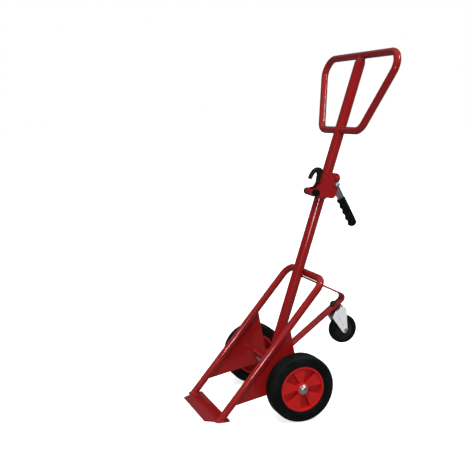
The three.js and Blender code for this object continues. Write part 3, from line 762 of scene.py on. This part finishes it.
def crown_part():
    """The fork's pressed crown, which spreads out under the race and over the wheel."""
    # each ring: its rear and front ends, its half-width and how far along the swivel's axis
    shell = [(-6.5, 6.5, 6.5, -14), (-21, 19, 19, -14), (-28, 21.4, 21.4, -16), (-33.4, 22, 22, -20.2),
             (-35.6, 22.4, 22.1, -24.6), (-36.3, 22.6, 22.1, -31), (-38.7, 25, 24.5, -31),
             (-38.2, 24.8, 24.5, -24), (-35.6, 24.5, 24.3, -18.2), (-30, 23.8, 23.6, -13.8),
             (-24, 22, 22, -11.4), (-20, 19.5, 19.5, -10.6), (-6.5, 6.5, 6.5, -10.4)]
    rings = []
    for low, high, width, along in shell:
        middle, half = (low + high) / 2, (high - low) / 2
        power = 1 if half < 7 else 0.8   # round at the pin's hole, squarer outside
        rings.append([Vector((middle + half * squared(p.x, power), along, width * squared(p.y, power)))
                      for p in circle(1, 72)])
    return skin(rings, closed=True)


def ridge(path, size):
    """A pressed stiffening ridge that fades out at both ends."""
    points = resampled(path, 2)
    last = len(points) - 1
    return sweep(points, [size * min(1, 0.15 + 0.28 * min(i, last - i)) for i in range(last + 1)], sides=12)


def legs_part():
    """The fork's two flat legs, each with a pressed ridge down its outer face."""
    outline = soften([(-16, -15), (-28, -16.5), (-36, -21), (-38.7, -28), (-38.7, -95), (-36.4, -103),
                      (-27, -106), (-18, -102.5), (-11.5, -90.5), (4.8, -64), (20.5, -42), (25, -33),
                      (24, -22), (15, -15)], 8, steps=6)
    ridge_line = soften([(-13, -20), (-17, -50), (-21, -80)], 40, closed=False, steps=6)
    parts = []
    for low, face in ((21.6, 24.5), (-24.5, -24.5)):
        parts.append(plate(outline, low, low + 2.9, [(*CASTOR_HUB, 4.3)], edge=0.9))
        parts.append(ridge([Vector((*p, face)) for p in ridge_line], 1.5))
    return joined(*parts)


# the legs carry the painted highlight and the crown the painted shade of their two zinc copies
add("fork", legs_part(), CASTOR, lit_fork_zinc, "castor_swivel_head", "castor_fork", crease=34)
add("fork_crown", crown_part(), CASTOR, shaded_crown_zinc, "castor_swivel_head", crease=34)

core_half = [(7.2, 20.4), (12, 20.4), (13, 19.4), (13, 12), (14, 9.6), (27, 7), (31, 8), (34, 9.6), (36, 9.8)]
core = [(radius, -along) for radius, along in core_half] + core_half[::-1]
add("castor_centre", lathe(core, CASTOR_HUB), CASTOR, castor_black, "castor_wheel", "castor_wheel_core")
band_half = [(36.2, 13.1), (38, 14.3), (41, 14.5), (41.7, 14), (42.5, 14.6), (46.5, 14.9), (50, 13.6),
             (52.5, 10.8), (53.7, 6.6), (54, 1.5)]
band = [(radius, -along) for radius, along in band_half] + band_half[::-1]
add("castor_band", lathe(band, CASTOR_HUB, 96), CASTOR, tyre_black, "castor_wheel", "castor_tyre",
    crease=32)

shank = lathe([(0, -33), (3.4, -33), (4, -32.4), (4, 26), (0, 26)], CASTOR_HUB, 32, closed=False)
bolt_head = hexagonal(CASTOR_HUB, 13, 0, 24.7, 30, turn=0.4, both=False)
add("castor_bolt", joined(shank, bolt_head), CASTOR, zinc, "castor_swivel_head", "castor_axle")
lock_nut = hexagonal(CASTOR_HUB, 13, 4.1, -31.3, -24.7, turn=0.1)
add("castor_lock_nut", lock_nut, CASTOR, zinc, "castor_swivel_head", "castor_axle_nut")

# ---- clamp: sleeve, cheeks, beak, pads and pins ----
SLEEVE_LOW, SLEEVE_HIGH = 776, 872   # its two ends, up along the mast
SLEEVE_EDGE = 0.6
sleeve = [(19.6, SLEEVE_LOW + SLEEVE_EDGE), (20.2, SLEEVE_LOW), (22.4, SLEEVE_LOW),
          (23, SLEEVE_LOW + SLEEVE_EDGE), (23, SLEEVE_HIGH - SLEEVE_EDGE), (22.4, SLEEVE_HIGH),
          (20.2, SLEEVE_HIGH), (19.6, SLEEVE_HIGH - SLEEVE_EDGE)]
add("sleeve", standing(sleeve), MAST, paint, "clamp", "clamp_sleeve")

cheek_outline = ([(-23, 868), (8, 872.5)] + arc((26, 858), 17.5, 100, -25) + [(45.5, 838)]
                 + arc((26, 803), 21, 15, -100) + [(0, 777), (-14, 772)]
                 + arc(PAD, 13.5, 280, 120) + [(-26, 808), (-20.5, 828), (-20, 845)])
cheek_outline = soften(cheek_outline, 5, steps=3)
CHEEK_IN, CHEEK_T = 23.4, 5   # the gap on each side of the middle, and the plate's thickness
cheek_holes = [(*PAD, 8.6), (*TOP_BOLT, 5.2), (*PIVOT, 5.2)]
for label, low in (("right", CHEEK_IN), ("left", -CHEEK_IN - CHEEK_T)):
    cheek = plate(cheek_outline, low, low + CHEEK_T, cheek_holes, edge=1.3)
    add(f"cheek_plate_{label}", cheek, MAST, paint, "clamp", f"cheek_{label}")

beak = soften([(-18, 822), (-18, 864), (-24, 872), (-32, 877), (-40, 877.5), (-50, 872), (-58, 861),
               (-63, 845), (-64, 832), (-61, 827), (-56.5, 829), (-54.5, 842), (-50, 853), (-44, 858.5),
               (-37.5, 857), (-34, 850), (-32.5, 838), (-31, 826), (-29, 822)], 4, steps=4)
add("hook_beak", plate(beak, -11, 11, edge=2.0), MAST, dark, "clamp", "beak")
shoe = soften([(19.4, 803), (24.4, 803), (24.4, 843), (19.4, 843)], 1.5)
add("shoe", plate(shoe, -8, 8, edge=0.6), MAST, dark, "clamp", "brake_shoe")

bar = [(0, -38), (8.4, -38), (9, -37.4), (9, 37.4), (8.4, 38), (0, 38)]
add("rest_bar", lathe(bar, PAD, closed=False), MAST, paint, "clamp", "pad_bar")
rest_cap = [(9.1, 28.9), (12.2, 28.9), (13, 29.8), (13, 32), (12.5, 32.6), (12.5, 33.4), (13, 34),
            (13, 40.5), (12.3, 42.6), (10.2, 43.8), (0, 44), (0, 38.2), (9.1, 38.2)]
for label, side in (("right", 1), ("left", -1)):
    cap = lathe([(radius, side * along) for radius, along in rest_cap], PAD)
    add(f"rest_cap_{label}", cap, MAST, grip_black, "clamp", f"pad_cap_{label}")

add("clamp_spacer", washer(TOP_BOLT, 5.3, 6.9, -23, 23), MAST, zinc, "clamp", "top_spacer")
pin_shank = [(0, -38), (4.3, -38), (5, -37.3), (5, 29), (0, 29)]
for label, centre, finish in (("top", TOP_BOLT, paint), ("pivot", PIVOT, zinc)):
    pin = joined(lathe(pin_shank, centre, 40, closed=False), socket_head(centre, 9.5, 28.7, 36.4))
    add(f"{label}_screw", pin, MAST, finish, "clamp", f"{label}_bolt")
    nut = hexagonal(centre, 17, 5.1, -36.4, -28.6, turn=0.25)
    add(f"{label}_lock_nut", nut, MAST, zinc, "clamp", f"{label}_nut")

clamp_welds = []
for side in (1, -1):
    for v in (8, -8):
        run = (SLEEVE_LOW + 10, SLEEVE_HIGH - 8)
        clamp_welds.append(bead([Vector((v, w, side * 22.6)) for w in run], 2.2))
    ring = [Vector((PAD[0] + p.x, PAD[1] + p.y, side * 23.2)) for p in circle(9.6, 36)]
    clamp_welds.append(bead(ring, 1.9, closed=True))
    clamp_welds.append(bead([Vector((-21.5, w, side * 11)) for w in (824, 862)], 2.4))
add("clamp_welds", joined(*clamp_welds), MAST, paint, "clamp")

# ---- cam lever and its moulded grip ----
# The lever runs along its own first axis, with a small tab beside the pivot.
lever = soften(arc((0, 0), 10, 100, 260)
               + [(30, -10), (52, -11), (168, -9), (168, 9), (76, 10.5), (58, 16), (14, 16),
                  (8, 19.5), (5.5, 23), (2.5, 22.5), (1.5, 17)], 2.5, steps=3)
add("lever_strip", plate(lever, -2.5, 2.5, [(0, 0, 5.1)], edge=0.7), LEVER, steel, "clamp_lever", "lever")


def cam_part(low):
    """A thick disc that is off centre toward the mast, with its bore still on the pivot."""
    profile = [(5.2, low), (9.2, low), (9.8, low + 0.6), (9.8, low + 4.7), (9.2, low + 5.3), (5.2, low + 5.3)]
    points, faces = lathe(profile, PIVOT, 48)
    throw, bore = Vector((2.4, 0, 0)), 6
    return [p if (p.xy - Vector(PIVOT)).length < bore else p - throw for p in points], faces


for label, low in (("right", 2.7), ("left", -8)):
    add(f"cam_disc_{label}", cam_part(low), MAST, dark, "clamp_lever", f"cam_{label}")

GRIP_START, GRIP_LENGTH = 62, 118
GRIP_LIP, GRIP_END = 2.4, 13   # how long the lip at the mouth and the rounded end are


def grip_size(s):
    """The grip's outer edge, its waved finger edge and its half-thickness at a distance from its mouth."""
    outside = 17.3 + 0.7 * math.sin(math.pi * s / GRIP_LENGTH)
    fingers = 14.0 + 2.3 * math.cos(2 * math.pi * 4 * (s - 6) / 98) if s > 6 else 16.0
    scale = 1
    left = GRIP_LENGTH - s
    if left < GRIP_END:
        scale = max(0.02, math.sqrt(max(0, 1 - ((GRIP_END - left) / GRIP_END) ** 2.4)))
    if s < GRIP_LIP:
        scale = 0.88 + 0.12 * math.sqrt(s / GRIP_LIP)
    return outside * scale, fingers * scale, 10.8 * scale


def grip_part():
    """A hand grip with four finger waves on its inner side and a rounded end."""
    stations = [0, 0.4, 1.2] + [GRIP_LIP + 1.4 * k for k in range(73)]
    stations += [GRIP_LENGTH - left for left in (GRIP_END, 10.5, 8, 6, 4.2, 2.8, 1.6, 0.8, 0.25, 0)]
    rings = []
    for s in stations:
        outside, fingers, thick = grip_size(s)
        ring = []
        for p in circle(1, 40):
            edge = squared(p.x, 0.78) * (outside if p.x > 0 else fingers)
            ring.append(Vector((GRIP_START + s, edge, squared(p.y, 0.78) * thick)))
        rings.append(ring)
    return skin(rings)


add("hand_grip", grip_part(), LEVER, grip_black, "clamp_lever", "grip", crease=60)

# The bushes show only as thin rings, so they keep their plain turned shape.
for name in ("bush_right", "bush_left", "castor_bush"):
    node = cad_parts[name]
    node.data.materials.clear()
    node.data.materials.append(steel.material)

# ---- floor, light and camera ----
FLOOR = 40   # metres from the middle to an edge
floor_mesh = bpy.data.meshes.new("floor")
floor_corners = [(-FLOOR, -FLOOR, 0), (FLOOR, -FLOOR, 0), (FLOOR, FLOOR, 0), (-FLOOR, FLOOR, 0)]
floor_mesh.from_pydata(floor_corners, [], [(0, 1, 2, 3)])
floor = bpy.data.objects.new("floor", floor_mesh)
scene.collection.objects.link(floor)
floor_paint = bpy.data.materials.new("floor_paint")
floor_paint.use_nodes = True
floor_shader = floor_paint.node_tree.nodes["Principled BSDF"]
floor_shader.inputs["Base Color"].default_value = grey(0.90)
floor_shader.inputs["Roughness"].default_value = 0.9
floor_shader.inputs["Specular IOR Level"].default_value = 0.1
floor_shader.inputs["Emission Color"].default_value = grey(1.0)
floor_shader.inputs["Emission Strength"].default_value = 0.76
floor_mesh.materials.append(floor_paint)
floor.visible_glossy = False    # the floor isn't mirrored in the paint,
floor.visible_diffuse = False   # and the room's lower half gives the light from below

# The room: white behind the object, soft light all round, and a darker room in reflections.
world = bpy.data.worlds.new("studio")
scene.world = world
world.use_nodes = True
sky = world.node_tree
sky.nodes.clear()
direction = sky.nodes.new("ShaderNodeTexCoord")
split = sky.nodes.new("ShaderNodeSeparateXYZ")
sky.links.new(direction.outputs["Generated"], split.inputs[0])
height = sky.nodes.new("ShaderNodeMath")   # 0 straight down, 0.5 at the horizon, 1 overhead
height.operation = "MULTIPLY_ADD"
height.inputs[1].default_value = height.inputs[2].default_value = 0.5
sky.links.new(split.outputs["Z"], height.inputs[0])
rays = sky.nodes.new("ShaderNodeLightPath")


def room(strength, *levels):
    """A background whose grey follows the height of the direction looked in."""
    ramp = sky.nodes.new("ShaderNodeValToRGB")
    while len(ramp.color_ramp.elements) < len(levels):
        ramp.color_ramp.elements.new(0.5)
    for element, (position, level) in zip(ramp.color_ramp.elements, levels):
        element.position, element.color = position, grey(level)
    background = sky.nodes.new("ShaderNodeBackground")
    background.inputs["Strength"].default_value = strength
    sky.links.new(height.outputs[0], ramp.inputs["Fac"])
    sky.links.new(ramp.outputs["Color"], background.inputs["Color"])
    return background.outputs[0]


def either(ray, first, second):
    mixed = sky.nodes.new("ShaderNodeMixShader")
    sky.links.new(rays.outputs[ray], mixed.inputs["Fac"])
    sky.links.new(first, mixed.inputs[1])
    sky.links.new(second, mixed.inputs[2])
    return mixed.outputs[0]


lighting = room(0.6, (0.0, 1.0), (0.45, 0.7), (0.52, 0.18), (0.7, 0.22), (1.0, 0.4))
mirrored = room(0.6, (0.0, 0.35), (0.42, 0.22), (0.5, 0.06), (0.62, 0.10), (0.85, 0.45), (1.0, 0.8))
seen = either("Is Camera Ray", either("Is Glossy Ray", lighting, mirrored), room(1.0, (0.0, 1.0), (1.0, 1.0)))
sky.links.new(seen, sky.nodes.new("ShaderNodeOutputWorld").inputs["Surface"])


def lamp(name, kind, energy, location, target, **settings):
    data = bpy.data.lights.new(name, kind)
    data.energy = energy
    for setting, value in settings.items():
        setattr(data, setting, value)
    made = bpy.data.objects.new(name, data)
    made.location = location
    made.rotation_mode = "QUATERNION"
    made.rotation_quaternion = (Vector(target) - Vector(location)).to_track_quat("-Z", "Y")
    scene.collection.objects.link(made)
    return made


sun = lamp("soft_top", "SUN", 2.15, (2.2, -1.8, 5.6), (0, 0, 0), angle=math.radians(24))
sun.visible_glossy = False
lamp("top_bank", "AREA", 26, (1.2, 1.6, 2.6), (0, 0, 0.6), shape="RECTANGLE", size=1.4, size_y=0.3)

# A long lamp puts a highlight down the right leg; its long side lies square to the leg.
LEG_MIDDLE = (0.147, -0.13, 0.19)
bank = lamp("leg_bank", "AREA", 18, (3.05, -1.33, 1.19), LEG_MIDDLE, shape="RECTANGLE", size=1.1, size_y=0.22)
aim = (Vector(LEG_MIDDLE) - bank.location).normalized()
across_leg = LEG.cross(aim).normalized()
bank.rotation_quaternion = Matrix((across_leg, across_leg.cross(aim), -aim)).transposed().to_quaternion()

CAMERA_AT = (2.59966, -1.13848, 1.04367)
CAMERA_TURN, CAMERA_DIP = math.radians(69.58), math.radians(8.74)   # round from the front, and down
HALF_STEP = 0.5 / 470   # the frame's centre lies half a step off the lens's axis
camera_data = bpy.data.cameras.new("camera")
camera_data.lens = 61.28
camera_data.sensor_width = 36
camera_data.shift_x = -HALF_STEP
camera_data.shift_y = HALF_STEP
camera = bpy.data.objects.new("camera", camera_data)
level = Vector((math.sin(CAMERA_TURN), -math.cos(CAMERA_TURN), 0))
back = level * math.cos(CAMERA_DIP) + Vector((0, 0, math.sin(CAMERA_DIP)))
camera.location = CAMERA_AT
camera.rotation_mode = "QUATERNION"
camera.rotation_quaternion = (-back).to_track_quat("-Z", "Y")
scene.collection.objects.link(camera)
scene.camera = camera
scene.view_settings.view_transform = "Standard"
